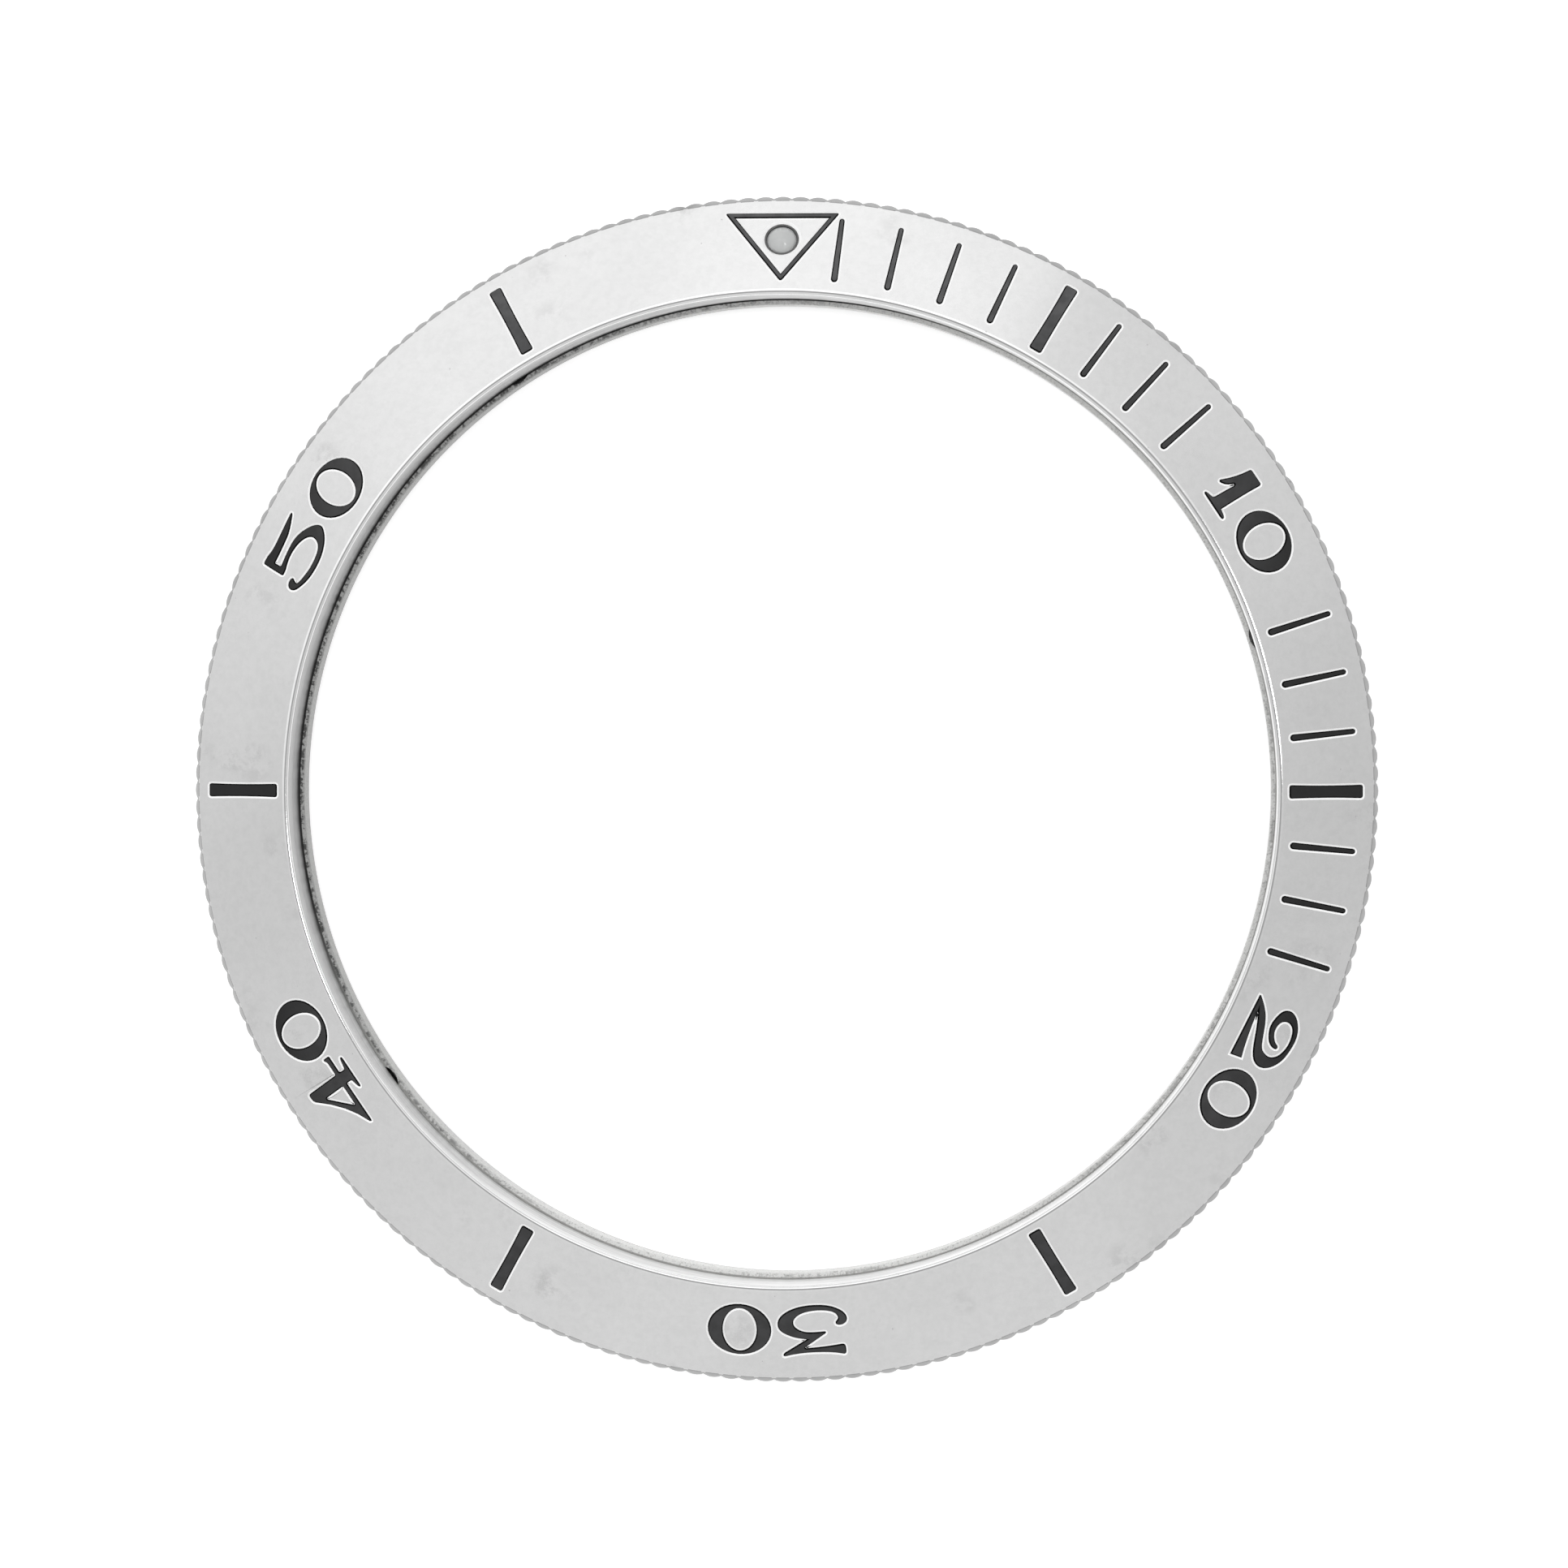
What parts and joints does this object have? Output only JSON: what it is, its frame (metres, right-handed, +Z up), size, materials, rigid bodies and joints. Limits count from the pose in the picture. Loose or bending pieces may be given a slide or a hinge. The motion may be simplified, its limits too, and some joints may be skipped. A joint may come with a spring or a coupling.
{
  "type": "watch bezel",
  "caption": "Rotating diving-watch bezel: lobed steel ring with a sloped, engraved minute scale and pearl, clicking on a seat ring.",
  "frame": {"origin": "on the ring's axis, in the plane of the seat ring's foot, where the bezel meets the case top", "axes": "+Z up along the ring's axis, out of the dial face; +Y to the triangle at 12 o'clock; +X to 3 o'clock"},
  "size_m": [0.04, 0.04, 0.0038],
  "materials": {
    "bezel_steel": "fine satin face, polished inner edge and lobes",
    "seat_steel": "rough machined, dull",
    "spring_steel": "drawn wire, semi bright",
    "ball_steel": "polished",
    "cup_steel": "dark, blued",
    "enamel": "dark grey enamel, semi gloss",
    "lume": "matt luminous pellet",
    "pearl_clear": "clear resin dome, slightly cloudy",
    "gasket_rubber": "matt black"
  },
  "bodies": {
    "seat": {"seat_ring": "seat_steel", "friction_gasket": "gasket_rubber", "click_spring_1": "spring_steel", "click_spring_2": "spring_steel", "click_spring_3": "spring_steel"},
    "bezel": {"bezel_ring": "bezel_steel", "retaining_wire": "spring_steel", "triangle_enamel": "enamel", "bar_enamel_05": "enamel", "bar_enamel_15": "enamel", "bar_enamel_25": "enamel", "bar_enamel_35": "enamel", "bar_enamel_45": "enamel", "bar_enamel_55": "enamel", "minute_enamel_01": "enamel", "minute_enamel_02": "enamel", "minute_enamel_03": "enamel", "minute_enamel_04": "enamel", "minute_enamel_06": "enamel", "minute_enamel_07": "enamel", "minute_enamel_08": "enamel", "minute_enamel_12": "enamel", "minute_enamel_13": "enamel", "minute_enamel_14": "enamel", "minute_enamel_16": "enamel", "minute_enamel_17": "enamel", "minute_enamel_18": "enamel", "numeral_10_one": "enamel", "numeral_10_zero": "enamel", "numeral_20_two": "enamel", "numeral_20_zero": "enamel", "numeral_30_three": "enamel", "numeral_30_zero": "enamel", "numeral_40_four": "enamel", "numeral_40_zero": "enamel", "numeral_50_five": "enamel", "numeral_50_zero": "enamel", "pearl_cup": "cup_steel", "pearl_lume": "lume", "pearl_dome": "pearl_clear"},
    "ball_1": {"click_ball_1": "ball_steel"},
    "ball_2": {"click_ball_2": "ball_steel"},
    "ball_3": {"click_ball_3": "ball_steel"}
  },
  "joints": [
    {"name": "bezel_turn", "type": "hinge", "parent": "seat", "child": "bezel", "pos_m": [0, 0, 0.001], "axis": [0, 0, 1], "continuous": true},
    {"name": "ball_press_1", "type": "slide", "parent": "seat", "child": "ball_1", "axis": [0, 0, 1], "range_m": [-0.00013, 0], "stiffness_N_per_m": 400, "springref_m": 0.0005, "deforming": ["click_spring_1"]},
    {"name": "ball_press_2", "type": "slide", "parent": "seat", "child": "ball_2", "axis": [0, 0, 1], "range_m": [-0.00013, 0], "stiffness_N_per_m": 400, "springref_m": 0.0005, "deforming": ["click_spring_2"]},
    {"name": "ball_press_3", "type": "slide", "parent": "seat", "child": "ball_3", "axis": [0, 0, 1], "range_m": [-0.00013, 0], "stiffness_N_per_m": 400, "springref_m": 0.0005, "deforming": ["click_spring_3"]}
  ]
}
